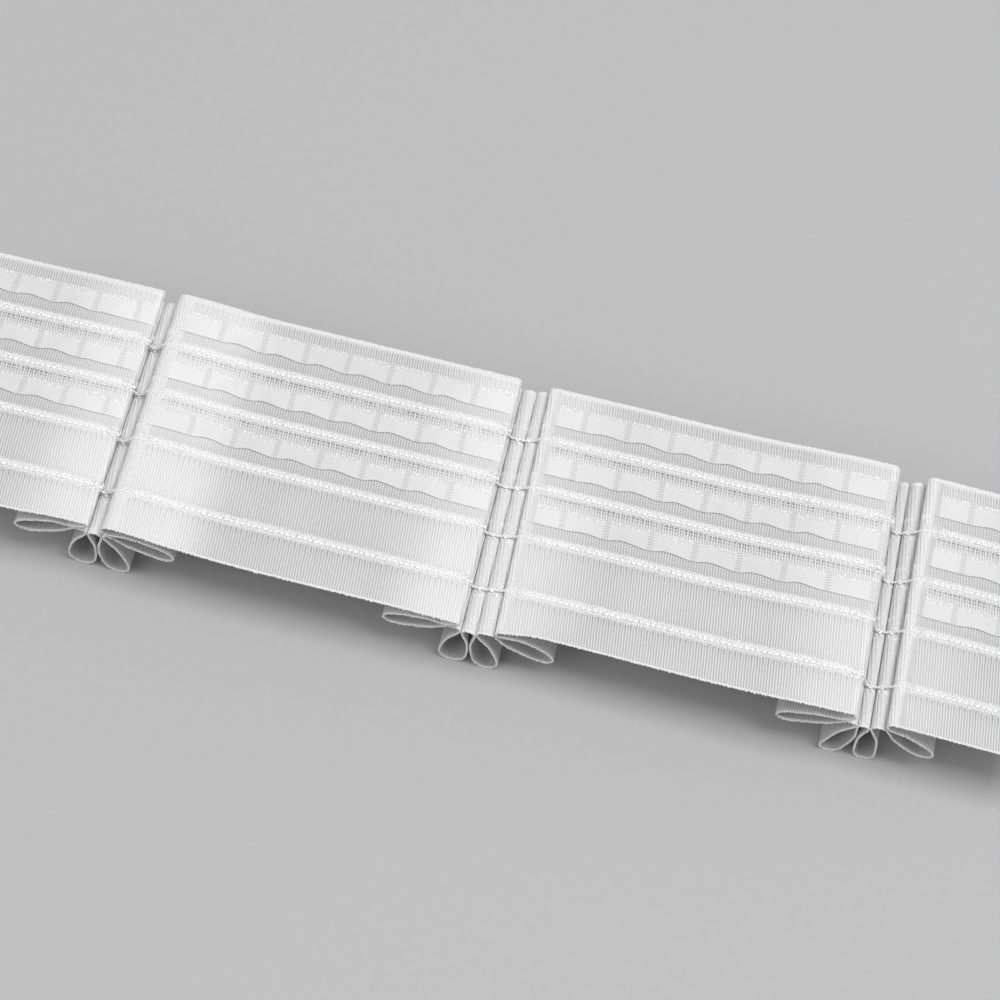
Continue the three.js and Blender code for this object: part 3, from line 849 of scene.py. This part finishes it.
# A pearl and the small stitches round it: step along the band and across it, half size, turn,
# height and yarn (0 for pearls, 1 for the ground)
PEARL_PITCH = 1.58
STITCHES = [(0.0, 0.3, (0.66, 0.48, 0.36), -0.25, 0.42, 0)]
for side_step in (-0.4, 0.4):
    STITCHES.append((side_step, -0.55, (0.36, 0.27, 0.24), 0.5, 0.38, 0))
    STITCHES.append((side_step + 0.15, -1.1, (0.38, 0.26, 0.18), 0.35, 0.25, 1))
    STITCHES.append((side_step - 0.2, 1.12, (0.24, 0.55, 0.18), 0.1, 0.25, 1))
PLACE_UNEVEN = 0.05
SIZE_UNEVEN = 0.1
RUN_SAMPLES = 400
random.seed(3)
band_pieces = []
for n, y in enumerate(CORD_ROWS):
    blobs = Blobs()
    for i, t0, t1 in stitched_stretches(y):
        line, _ = lines_at(y, [(i, t) for t in np.linspace(t0, t1, RUN_SAMPLES)])
        run = np.linalg.norm(np.diff(line, axis=0), axis=1).cumsum()
        run = np.concatenate([[0], run])
        count = max(1, int(run[-1] / PEARL_PITCH))
        for k in range(count):
            s = (k + 0.5) * run[-1] / count
            t = t0 + (t1 - t0) * np.interp(s, run, np.linspace(0, 1, RUN_SAMPLES))
            for ds, dy, size, turn, lift, yarn in STITCHES:
                at = t + (ds + random.gauss(0, PLACE_UNEVEN)) * (t1 - t0) / run[-1]
                at = min(max(at, 0), 1)
                row = y + dy + random.gauss(0, PLACE_UNEVEN)
                point, normal = lines_at(y, [(i, at)])
                point, normal = point[0], normal[0]
                out = HALF_SOLID + lift
                x, z = point + normal * out
                centre = np.array([x, float(across_tape(x, row)), z])
                jitter = 1 + random.gauss(0, SIZE_UNEVEN)
                size = [q * jitter for q in size]
                blobs.add(centre, normal, size, turn + random.gauss(0, 0.15), yarn)
    band_pieces.append(blobs.make(f"cord_band_{n + 1}", (pearl_yarn, band_yarn)))

# The weft's turns along both edges
EDGE_STITCH_PITCH = 1.05
EDGE_STITCH_SIZE = (0.52, 0.28, CLOTH_HALF + 0.08)
EDGE_STITCH_INSET = 0.2
EDGE_STITCH_TURN = 0.25
LOWEST_STITCH = CLOTH_HALF + 0.16
for name, y, inward in (("edge_stitches_top", 0, 1), ("edge_stitches_bottom", TAPE_WIDTH, -1)):
    blobs = Blobs()
    points, normals = lines_at(y, columns)
    run = np.concatenate([[0], np.linalg.norm(np.diff(points, axis=0), axis=1).cumsum()])
    for k in range(int(run[-1] / EDGE_STITCH_PITCH)):
        s = (k + 0.5 + random.gauss(0, 0.12)) * EDGE_STITCH_PITCH
        x, z = (np.interp(s, run, points[:, q]) for q in range(2))
        normal = unit([np.interp(s, run, normals[:, q]) for q in range(2)])
        out = np.interp(s, run, side)
        x, z = x + normal[0] * out, max(z + normal[1] * out, LOWEST_STITCH)
        row = y + inward * (EDGE_STITCH_INSET + random.gauss(0, PLACE_UNEVEN))
        centre = np.array([x, float(across_tape(x, row)), z])
        size = [q * (1 + random.gauss(0, SIZE_UNEVEN)) for q in EDGE_STITCH_SIZE]
        blobs.add(centre, normal, size, EDGE_STITCH_TURN + random.gauss(0, 0.2))
    band_pieces.append(blobs.make(name, (edge_yarn,)))

# The cords: two plies twisted together, held low in the bands and laid across the ribs
CORD_RADIUS = 0.45
CORD_PLIES = 2
PLY_SIDES = 7
CORD_STEP = 0.4
PANEL_STEP = 6
CORD_LIFT = 0.0
CORD_RIB_LIFT = 0.75
CORD_BEND = 0.9
FOLD_STEPS = ((0.25, 0.0), (0.42, 0.1), (0.55, 0.4))
RIB_SHARES = (0.3, 0.5, 0.7)
TWIST_PITCH = 2.2
PLY_FULLNESS = 1.02


def cord_route(y):
    pieces = section_at(y)

    def along(i, t, lift):
        point, normal = lines_at(y, [(i, t)])
        return point[0] + normal[0] * (HALF_SOLID + lift)

    route, ribs = [], []
    for i, piece in enumerate(pieces):
        if piece.kind == "panel":
            count = max(4, round((piece.end - piece.start) / PANEL_STEP))
            route += [along(i, k / count, CORD_LIFT) for k in range(count + 1)]
        elif piece.kind == "loop":
            continue
        elif pieces[i - 1].kind == "panel":
            route += [along(i, t, lift) for t, lift in FOLD_STEPS]
            ribs = []
        elif pieces[i + 1].kind == "panel":
            rise = [along(i, 1 - t, lift) for t, lift in reversed(FOLD_STEPS)]
            low, high = route[-1][0] + CORD_BEND, rise[0][0] - CORD_BEND
            route += [p for p in ribs if low < p[0] < high] + rise
        else:
            ribs += [along(i, t, CORD_RIB_LIFT) for t in RIB_SHARES]
    return np.array(route)


def resample(route, spacing):
    run = np.concatenate([[0], np.linalg.norm(np.diff(route, axis=0), axis=1).cumsum()])
    count = round(run[-1] / spacing)
    at = np.linspace(0, run[-1], count + 1)
    line = np.stack([np.interp(at, run, route[:, k]) for k in range(2)], -1)
    for _ in range(2):
        line[1:-1] = (line[:-2] + 2 * line[1:-1] + line[2:]) / 4
    return line, at


def ply_tube(line, at, y, radius, sides, offset):
    ahead = unit(np.gradient(line, axis=0))
    points, shapes = [], []
    angle = 2 * np.pi * at / TWIST_PITCH + offset
    up = np.stack([-ahead[:, 1], np.zeros(len(line)), ahead[:, 0]], -1)
    sideways = np.array([0.0, 1.0, 0.0])
    centre = np.stack([line[:, 0], across_tape(line[:, 0], y), line[:, 1]], -1)
    centre = centre + radius * (np.cos(angle)[:, None] * sideways + np.sin(angle)[:, None] * up)
    for k in range(sides):
        a = 2 * np.pi * k / sides
        points.append(centre + radius * PLY_FULLNESS * (math.cos(a) * sideways + math.sin(a) * up))
    points = np.stack(points, 1)
    n = len(line)
    for i in range(n - 1):
        for k in range(sides):
            b = (k + 1) % sides
            shapes.append((i * sides + k, i * sides + b, (i + 1) * sides + b, (i + 1) * sides + k))
    shapes.append(tuple(reversed(range(sides))))
    shapes.append(tuple((n - 1) * sides + k for k in range(sides)))
    return points.reshape(-1, 3), shapes


cord_pieces = []
for n, y in enumerate(CORD_ROWS):
    line, at = resample(cord_route(y), CORD_STEP)
    points, shapes = [], []
    for ply in range(CORD_PLIES):
        p, f = ply_tube(line, at, y, CORD_RADIUS / 2, PLY_SIDES, ply * math.pi)
        base = sum(len(q) for q in points)
        points.append(p)
        shapes += [tuple(base + i for i in face) for face in f]
    cord = new_object(f"cord_{n + 1}", np.concatenate(points), shapes)
    cord.data.materials.append(cord_yarn)
    cord_pieces.append(cord)

# Camera at the photograph's place, and soft light from high above on both sides. Places of the
# camera and lights are metres
camera_data = bpy.data.cameras.new("camera")
camera_data.sensor_width = 36
camera_data.lens = 84.2
camera_data.clip_start = 0.01
camera = bpy.data.objects.new("camera", camera_data)
camera.location = (0.048608, -0.276773, 0.603709)
camera.rotation_euler = [math.radians(a) for a in (25.914, -2.1896, 14.3612)]
bpy.context.scene.collection.objects.link(camera)
bpy.context.scene.camera = camera


def area_light(name, place, aim, size, power):
    data = bpy.data.lights.new(name, "AREA")
    data.size = size
    data.energy = power
    light = bpy.data.objects.new(name, data)
    light.location = place
    toward = np.array(aim) - np.array(place)
    pitch = math.atan2(math.hypot(toward[0], toward[1]), -toward[2])
    turn = math.atan2(toward[0], -toward[1])
    light.rotation_euler = (pitch, 0, turn + math.pi)
    bpy.context.scene.collection.objects.link(light)


TAPE_MIDDLE = (0, 0, 0.02)
area_light("key", (0.75, 0.0, 2.3), TAPE_MIDDLE, size=0.95, power=36.5)
area_light("fill", (-1.3, -0.9, 2.2), TAPE_MIDDLE, size=2.0, power=20.0)
bpy.context.scene.view_settings.view_transform = "Standard"

world = bpy.data.worlds.new("studio")
bpy.context.scene.world = world
world.use_nodes = True
world.node_tree.nodes["Background"].inputs["Color"].default_value = (1, 1, 1, 1)
world.node_tree.nodes["Background"].inputs["Strength"].default_value = 0.32

FLOOR_HALF = 3000
PAPER_LEVEL = 0.48
floor_corners = [(a * FLOOR_HALF, b * FLOOR_HALF, 0) for a, b in ((-1, -1), (1, -1), (1, 1), (-1, 1))]
floor = new_object("floor", floor_corners, [(0, 1, 2, 3)], smooth_shaded=False)
paper = Graph("floor_paper")
where = paper.node("ShaderNodeTexCoord").outputs["Object"]
grain = paper.node("ShaderNodeTexNoise")
grain.inputs["Scale"].default_value = 400
paper.put(grain.inputs["Vector"], where)
paper_shade = paper.mad(grain.outputs[0], 0.02, PAPER_LEVEL)
floor.data.materials.append(paper.finish(paper_shade, grain.outputs[0], sheen=0.0, depth=0.1))

for piece in (tape, *band_pieces, *cord_pieces):
    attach(piece, "root")
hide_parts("tape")
for n, cord in enumerate(cord_pieces):
    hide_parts(f"draw_cord_{n + 1}")
